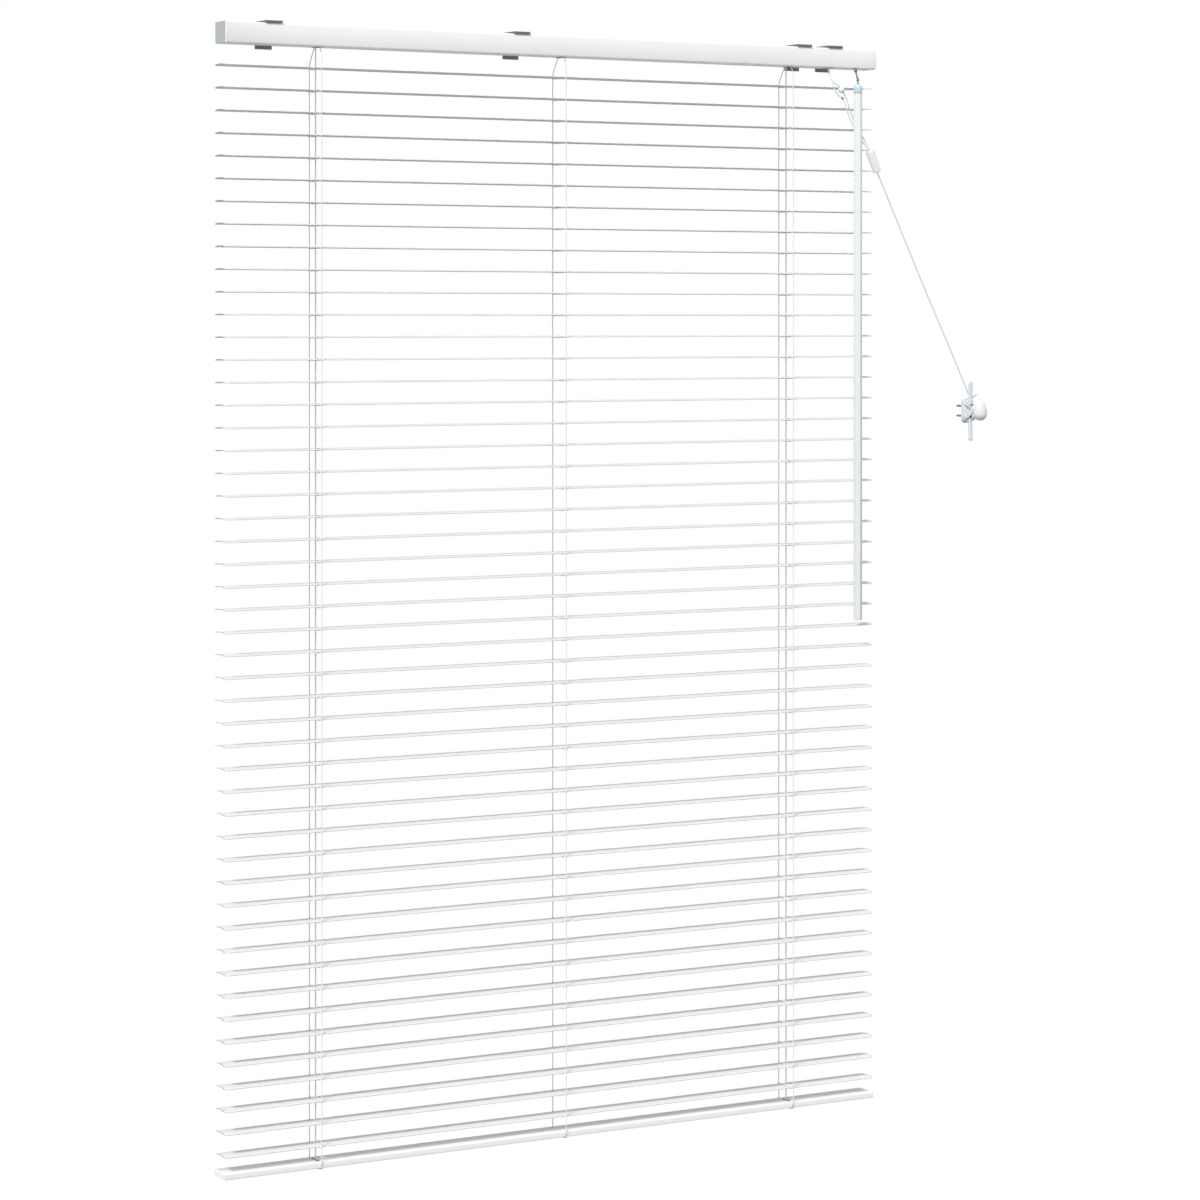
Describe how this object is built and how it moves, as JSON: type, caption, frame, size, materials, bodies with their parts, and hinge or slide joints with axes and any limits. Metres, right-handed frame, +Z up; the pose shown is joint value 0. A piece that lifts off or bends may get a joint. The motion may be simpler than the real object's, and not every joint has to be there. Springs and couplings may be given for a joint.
{
  "type": "venetian blind",
  "caption": "Horizontal-slat window blind with a headrail, tilting slats on cord ladders, a bottom rail, a tilt wand and a pull cord tied off on a wall cleat.",
  "frame": {"origin": "middle of the line the blind hangs under: half way along the slats, in the plane of their centre line, level with the bracket tops", "axes": "+X along the slats to the right as seen from the room, +Y back to the window or wall, +Z up"},
  "size_m": [0.8606, 0.0466, 1.0711],
  "materials": {
    "slat_paint": "white baked enamel, satin",
    "headrail_paint": "white baked enamel, satin",
    "rail_paint": "white baked enamel, satin",
    "fitting_plastic": "moulded, satin",
    "bracket_steel": "zinc-plated, dull grey",
    "rod_steel": "drawn rod",
    "stem_steel": "dark plated",
    "wand_plastic": "extruded, gloss",
    "cord_polyester": "braided cord",
    "cord_plastic": "moulded, gloss",
    "blue_plastic": "translucent moulding"
  },
  "bodies": {
    "headrail": {"headrail": "headrail_paint", "headrail_fittings": "fitting_plastic", "mounting_hardware": "bracket_steel", "lift_cords": "cord_polyester", "cord_hardware": "cord_plastic"},
    "tilt_shaft": {"tilt_shaft": "rod_steel"},
    "tilter_worm": {"tilter_worm": "stem_steel"},
    "tilt_wand": {"tilt_wand": "wand_plastic"},
    "slat_01": {"slat_01": "slat_paint"},
    "slat_02": {"slat_02": "slat_paint"},
    "slat_03": {"slat_03": "slat_paint"},
    "slat_04": {"slat_04": "slat_paint"},
    "slat_05": {"slat_05": "slat_paint"},
    "slat_06": {"slat_06": "slat_paint"},
    "slat_07": {"slat_07": "slat_paint"},
    "slat_08": {"slat_08": "slat_paint"},
    "slat_09": {"slat_09": "slat_paint"},
    "slat_10": {"slat_10": "slat_paint"},
    "slat_11": {"slat_11": "slat_paint"},
    "slat_12": {"slat_12": "slat_paint"},
    "slat_13": {"slat_13": "slat_paint"},
    "slat_14": {"slat_14": "slat_paint"},
    "slat_15": {"slat_15": "slat_paint"},
    "slat_16": {"slat_16": "slat_paint"},
    "slat_17": {"slat_17": "slat_paint"},
    "slat_18": {"slat_18": "slat_paint"},
    "slat_19": {"slat_19": "slat_paint"},
    "slat_20": {"slat_20": "slat_paint"},
    "slat_21": {"slat_21": "slat_paint"},
    "slat_22": {"slat_22": "slat_paint"},
    "slat_23": {"slat_23": "slat_paint"},
    "slat_24": {"slat_24": "slat_paint"},
    "slat_25": {"slat_25": "slat_paint"},
    "slat_26": {"slat_26": "slat_paint"},
    "slat_27": {"slat_27": "slat_paint"},
    "slat_28": {"slat_28": "slat_paint"},
    "slat_29": {"slat_29": "slat_paint"},
    "slat_30": {"slat_30": "slat_paint"},
    "slat_31": {"slat_31": "slat_paint"},
    "slat_32": {"slat_32": "slat_paint"},
    "slat_33": {"slat_33": "slat_paint"},
    "slat_34": {"slat_34": "slat_paint"},
    "slat_35": {"slat_35": "slat_paint"},
    "slat_36": {"slat_36": "slat_paint"},
    "slat_37": {"slat_37": "slat_paint"},
    "slat_38": {"slat_38": "slat_paint"},
    "slat_39": {"slat_39": "slat_paint"},
    "slat_40": {"slat_40": "slat_paint"},
    "slat_41": {"slat_41": "slat_paint"},
    "slat_42": {"slat_42": "slat_paint"},
    "slat_43": {"slat_43": "slat_paint"},
    "slat_44": {"slat_44": "slat_paint"},
    "slat_45": {"slat_45": "slat_paint"},
    "slat_46": {"slat_46": "slat_paint"},
    "slat_47": {"slat_47": "slat_paint"},
    "slat_48": {"slat_48": "slat_paint"},
    "slat_49": {"slat_49": "slat_paint"},
    "ladder_front": {"ladder_front_cords": "cord_polyester"},
    "ladder_back": {"ladder_back_cords": "cord_polyester"},
    "bottom_rail": {"bottom_rail": "rail_paint"}
  },
  "joints": [
    {"name": "tilt", "type": "hinge", "parent": "headrail", "child": "tilt_shaft", "pos_m": [0, -0.003, -0.0122], "axis": [1, 0, 0], "range_deg": [-65, 65]},
    {"name": "worm_turn", "type": "hinge", "parent": "headrail", "child": "tilter_worm", "pos_m": [0.336, -0.01965, -0.034], "axis": [0, 0.4067, 0.9135], "range_deg": [-780, 780]},
    {"name": "wand_turn", "type": "hinge", "parent": "headrail", "child": "tilt_wand", "pos_m": [0.336, -0.01965, -0.034], "axis": [0, 0, 1], "range_deg": [-780, 780]},
    {"name": "slat_01_tilt", "type": "hinge", "parent": "headrail", "child": "slat_01", "pos_m": [0, 0, -0.042], "axis": [1, 0, 0], "range_deg": [-65, 65]},
    {"name": "slat_02_tilt", "type": "hinge", "parent": "headrail", "child": "slat_02", "pos_m": [0, 0, -0.063], "axis": [1, 0, 0], "range_deg": [-65, 65]},
    {"name": "slat_03_tilt", "type": "hinge", "parent": "headrail", "child": "slat_03", "pos_m": [0, 0, -0.084], "axis": [1, 0, 0], "range_deg": [-65, 65]},
    {"name": "slat_04_tilt", "type": "hinge", "parent": "headrail", "child": "slat_04", "pos_m": [0, 0, -0.105], "axis": [1, 0, 0], "range_deg": [-65, 65]},
    {"name": "slat_05_tilt", "type": "hinge", "parent": "headrail", "child": "slat_05", "pos_m": [0, 0, -0.126], "axis": [1, 0, 0], "range_deg": [-65, 65]},
    {"name": "slat_06_tilt", "type": "hinge", "parent": "headrail", "child": "slat_06", "pos_m": [0, 0, -0.147], "axis": [1, 0, 0], "range_deg": [-65, 65]},
    {"name": "slat_07_tilt", "type": "hinge", "parent": "headrail", "child": "slat_07", "pos_m": [0, 0, -0.168], "axis": [1, 0, 0], "range_deg": [-65, 65]},
    {"name": "slat_08_tilt", "type": "hinge", "parent": "headrail", "child": "slat_08", "pos_m": [0, 0, -0.189], "axis": [1, 0, 0], "range_deg": [-65, 65]},
    {"name": "slat_09_tilt", "type": "hinge", "parent": "headrail", "child": "slat_09", "pos_m": [0, 0, -0.21], "axis": [1, 0, 0], "range_deg": [-65, 65]},
    {"name": "slat_10_tilt", "type": "hinge", "parent": "headrail", "child": "slat_10", "pos_m": [0, 0, -0.231], "axis": [1, 0, 0], "range_deg": [-65, 65]},
    {"name": "slat_11_tilt", "type": "hinge", "parent": "headrail", "child": "slat_11", "pos_m": [0, 0, -0.252], "axis": [1, 0, 0], "range_deg": [-65, 65]},
    {"name": "slat_12_tilt", "type": "hinge", "parent": "headrail", "child": "slat_12", "pos_m": [0, 0, -0.273], "axis": [1, 0, 0], "range_deg": [-65, 65]},
    {"name": "slat_13_tilt", "type": "hinge", "parent": "headrail", "child": "slat_13", "pos_m": [0, 0, -0.294], "axis": [1, 0, 0], "range_deg": [-65, 65]},
    {"name": "slat_14_tilt", "type": "hinge", "parent": "headrail", "child": "slat_14", "pos_m": [0, 0, -0.315], "axis": [1, 0, 0], "range_deg": [-65, 65]},
    {"name": "slat_15_tilt", "type": "hinge", "parent": "headrail", "child": "slat_15", "pos_m": [0, 0, -0.336], "axis": [1, 0, 0], "range_deg": [-65, 65]},
    {"name": "slat_16_tilt", "type": "hinge", "parent": "headrail", "child": "slat_16", "pos_m": [0, 0, -0.357], "axis": [1, 0, 0], "range_deg": [-65, 65]},
    {"name": "slat_17_tilt", "type": "hinge", "parent": "headrail", "child": "slat_17", "pos_m": [0, 0, -0.378], "axis": [1, 0, 0], "range_deg": [-65, 65]},
    {"name": "slat_18_tilt", "type": "hinge", "parent": "headrail", "child": "slat_18", "pos_m": [0, 0, -0.399], "axis": [1, 0, 0], "range_deg": [-65, 65]},
    {"name": "slat_19_tilt", "type": "hinge", "parent": "headrail", "child": "slat_19", "pos_m": [0, 0, -0.42], "axis": [1, 0, 0], "range_deg": [-65, 65]},
    {"name": "slat_20_tilt", "type": "hinge", "parent": "headrail", "child": "slat_20", "pos_m": [0, 0, -0.441], "axis": [1, 0, 0], "range_deg": [-65, 65]},
    {"name": "slat_21_tilt", "type": "hinge", "parent": "headrail", "child": "slat_21", "pos_m": [0, 0, -0.462], "axis": [1, 0, 0], "range_deg": [-65, 65]},
    {"name": "slat_22_tilt", "type": "hinge", "parent": "headrail", "child": "slat_22", "pos_m": [0, 0, -0.483], "axis": [1, 0, 0], "range_deg": [-65, 65]},
    {"name": "slat_23_tilt", "type": "hinge", "parent": "headrail", "child": "slat_23", "pos_m": [0, 0, -0.504], "axis": [1, 0, 0], "range_deg": [-65, 65]},
    {"name": "slat_24_tilt", "type": "hinge", "parent": "headrail", "child": "slat_24", "pos_m": [0, 0, -0.525], "axis": [1, 0, 0], "range_deg": [-65, 65]},
    {"name": "slat_25_tilt", "type": "hinge", "parent": "headrail", "child": "slat_25", "pos_m": [0, 0, -0.546], "axis": [1, 0, 0], "range_deg": [-65, 65]},
    {"name": "slat_26_tilt", "type": "hinge", "parent": "headrail", "child": "slat_26", "pos_m": [0, 0, -0.567], "axis": [1, 0, 0], "range_deg": [-65, 65]},
    {"name": "slat_27_tilt", "type": "hinge", "parent": "headrail", "child": "slat_27", "pos_m": [0, 0, -0.588], "axis": [1, 0, 0], "range_deg": [-65, 65]},
    {"name": "slat_28_tilt", "type": "hinge", "parent": "headrail", "child": "slat_28", "pos_m": [0, 0, -0.609], "axis": [1, 0, 0], "range_deg": [-65, 65]},
    {"name": "slat_29_tilt", "type": "hinge", "parent": "headrail", "child": "slat_29", "pos_m": [0, 0, -0.63], "axis": [1, 0, 0], "range_deg": [-65, 65]},
    {"name": "slat_30_tilt", "type": "hinge", "parent": "headrail", "child": "slat_30", "pos_m": [0, 0, -0.651], "axis": [1, 0, 0], "range_deg": [-65, 65]},
    {"name": "slat_31_tilt", "type": "hinge", "parent": "headrail", "child": "slat_31", "pos_m": [0, 0, -0.672], "axis": [1, 0, 0], "range_deg": [-65, 65]},
    {"name": "slat_32_tilt", "type": "hinge", "parent": "headrail", "child": "slat_32", "pos_m": [0, 0, -0.693], "axis": [1, 0, 0], "range_deg": [-65, 65]},
    {"name": "slat_33_tilt", "type": "hinge", "parent": "headrail", "child": "slat_33", "pos_m": [0, 0, -0.714], "axis": [1, 0, 0], "range_deg": [-65, 65]},
    {"name": "slat_34_tilt", "type": "hinge", "parent": "headrail", "child": "slat_34", "pos_m": [0, 0, -0.735], "axis": [1, 0, 0], "range_deg": [-65, 65]},
    {"name": "slat_35_tilt", "type": "hinge", "parent": "headrail", "child": "slat_35", "pos_m": [0, 0, -0.756], "axis": [1, 0, 0], "range_deg": [-65, 65]},
    {"name": "slat_36_tilt", "type": "hinge", "parent": "headrail", "child": "slat_36", "pos_m": [0, 0, -0.777], "axis": [1, 0, 0], "range_deg": [-65, 65]},
    {"name": "slat_37_tilt", "type": "hinge", "parent": "headrail", "child": "slat_37", "pos_m": [0, 0, -0.798], "axis": [1, 0, 0], "range_deg": [-65, 65]},
    {"name": "slat_38_tilt", "type": "hinge", "parent": "headrail", "child": "slat_38", "pos_m": [0, 0, -0.819], "axis": [1, 0, 0], "range_deg": [-65, 65]},
    {"name": "slat_39_tilt", "type": "hinge", "parent": "headrail", "child": "slat_39", "pos_m": [0, 0, -0.84], "axis": [1, 0, 0], "range_deg": [-65, 65]},
    {"name": "slat_40_tilt", "type": "hinge", "parent": "headrail", "child": "slat_40", "pos_m": [0, 0, -0.861], "axis": [1, 0, 0], "range_deg": [-65, 65]},
    {"name": "slat_41_tilt", "type": "hinge", "parent": "headrail", "child": "slat_41", "pos_m": [0, 0, -0.882], "axis": [1, 0, 0], "range_deg": [-65, 65]},
    {"name": "slat_42_tilt", "type": "hinge", "parent": "headrail", "child": "slat_42", "pos_m": [0, 0, -0.903], "axis": [1, 0, 0], "range_deg": [-65, 65]},
    {"name": "slat_43_tilt", "type": "hinge", "parent": "headrail", "child": "slat_43", "pos_m": [0, 0, -0.924], "axis": [1, 0, 0], "range_deg": [-65, 65]},
    {"name": "slat_44_tilt", "type": "hinge", "parent": "headrail", "child": "slat_44", "pos_m": [0, 0, -0.945], "axis": [1, 0, 0], "range_deg": [-65, 65]},
    {"name": "slat_45_tilt", "type": "hinge", "parent": "headrail", "child": "slat_45", "pos_m": [0, 0, -0.966], "axis": [1, 0, 0], "range_deg": [-65, 65]},
    {"name": "slat_46_tilt", "type": "hinge", "parent": "headrail", "child": "slat_46", "pos_m": [0, 0, -0.987], "axis": [1, 0, 0], "range_deg": [-65, 65]},
    {"name": "slat_47_tilt", "type": "hinge", "parent": "headrail", "child": "slat_47", "pos_m": [0, 0, -1.008], "axis": [1, 0, 0], "range_deg": [-65, 65]},
    {"name": "slat_48_tilt", "type": "hinge", "parent": "headrail", "child": "slat_48", "pos_m": [0, 0, -1.029], "axis": [1, 0, 0], "range_deg": [-65, 65]},
    {"name": "slat_49_tilt", "type": "hinge", "parent": "headrail", "child": "slat_49", "pos_m": [0, 0, -1.05], "axis": [1, 0, 0], "range_deg": [-65, 65]},
    {"name": "ladder_front_swing", "type": "hinge", "parent": "slat_01", "child": "ladder_front", "pos_m": [0, -0.0135, -0.042], "axis": [1, 0, 0], "range_deg": [-65, 65]},
    {"name": "ladder_back_swing", "type": "hinge", "parent": "slat_01", "child": "ladder_back", "pos_m": [0, 0.0135, -0.042], "axis": [1, 0, 0], "range_deg": [-65, 65]},
    {"name": "bottom_rail_tilt", "type": "hinge", "parent": "headrail", "child": "bottom_rail", "pos_m": [0, 0, -1.0673], "axis": [1, 0, 0], "range_deg": [-65, 65]}
  ],
  "couplings": [
    {"joint": "worm_turn", "follows": "tilt", "ratio": 12},
    {"joint": "wand_turn", "follows": "tilt", "ratio": 12},
    {"joint": "slat_01_tilt", "follows": "tilt", "ratio": 1},
    {"joint": "slat_02_tilt", "follows": "tilt", "ratio": 1},
    {"joint": "slat_03_tilt", "follows": "tilt", "ratio": 1},
    {"joint": "slat_04_tilt", "follows": "tilt", "ratio": 1},
    {"joint": "slat_05_tilt", "follows": "tilt", "ratio": 1},
    {"joint": "slat_06_tilt", "follows": "tilt", "ratio": 1},
    {"joint": "slat_07_tilt", "follows": "tilt", "ratio": 1},
    {"joint": "slat_08_tilt", "follows": "tilt", "ratio": 1},
    {"joint": "slat_09_tilt", "follows": "tilt", "ratio": 1},
    {"joint": "slat_10_tilt", "follows": "tilt", "ratio": 1},
    {"joint": "slat_11_tilt", "follows": "tilt", "ratio": 1},
    {"joint": "slat_12_tilt", "follows": "tilt", "ratio": 1},
    {"joint": "slat_13_tilt", "follows": "tilt", "ratio": 1},
    {"joint": "slat_14_tilt", "follows": "tilt", "ratio": 1},
    {"joint": "slat_15_tilt", "follows": "tilt", "ratio": 1},
    {"joint": "slat_16_tilt", "follows": "tilt", "ratio": 1},
    {"joint": "slat_17_tilt", "follows": "tilt", "ratio": 1},
    {"joint": "slat_18_tilt", "follows": "tilt", "ratio": 1},
    {"joint": "slat_19_tilt", "follows": "tilt", "ratio": 1},
    {"joint": "slat_20_tilt", "follows": "tilt", "ratio": 1},
    {"joint": "slat_21_tilt", "follows": "tilt", "ratio": 1},
    {"joint": "slat_22_tilt", "follows": "tilt", "ratio": 1},
    {"joint": "slat_23_tilt", "follows": "tilt", "ratio": 1},
    {"joint": "slat_24_tilt", "follows": "tilt", "ratio": 1},
    {"joint": "slat_25_tilt", "follows": "tilt", "ratio": 1},
    {"joint": "slat_26_tilt", "follows": "tilt", "ratio": 1},
    {"joint": "slat_27_tilt", "follows": "tilt", "ratio": 1},
    {"joint": "slat_28_tilt", "follows": "tilt", "ratio": 1},
    {"joint": "slat_29_tilt", "follows": "tilt", "ratio": 1},
    {"joint": "slat_30_tilt", "follows": "tilt", "ratio": 1},
    {"joint": "slat_31_tilt", "follows": "tilt", "ratio": 1},
    {"joint": "slat_32_tilt", "follows": "tilt", "ratio": 1},
    {"joint": "slat_33_tilt", "follows": "tilt", "ratio": 1},
    {"joint": "slat_34_tilt", "follows": "tilt", "ratio": 1},
    {"joint": "slat_35_tilt", "follows": "tilt", "ratio": 1},
    {"joint": "slat_36_tilt", "follows": "tilt", "ratio": 1},
    {"joint": "slat_37_tilt", "follows": "tilt", "ratio": 1},
    {"joint": "slat_38_tilt", "follows": "tilt", "ratio": 1},
    {"joint": "slat_39_tilt", "follows": "tilt", "ratio": 1},
    {"joint": "slat_40_tilt", "follows": "tilt", "ratio": 1},
    {"joint": "slat_41_tilt", "follows": "tilt", "ratio": 1},
    {"joint": "slat_42_tilt", "follows": "tilt", "ratio": 1},
    {"joint": "slat_43_tilt", "follows": "tilt", "ratio": 1},
    {"joint": "slat_44_tilt", "follows": "tilt", "ratio": 1},
    {"joint": "slat_45_tilt", "follows": "tilt", "ratio": 1},
    {"joint": "slat_46_tilt", "follows": "tilt", "ratio": 1},
    {"joint": "slat_47_tilt", "follows": "tilt", "ratio": 1},
    {"joint": "slat_48_tilt", "follows": "tilt", "ratio": 1},
    {"joint": "slat_49_tilt", "follows": "tilt", "ratio": 1},
    {"joint": "ladder_front_swing", "follows": "tilt", "ratio": -1},
    {"joint": "ladder_back_swing", "follows": "tilt", "ratio": -1},
    {"joint": "bottom_rail_tilt", "follows": "tilt", "ratio": 1}
  ]
}
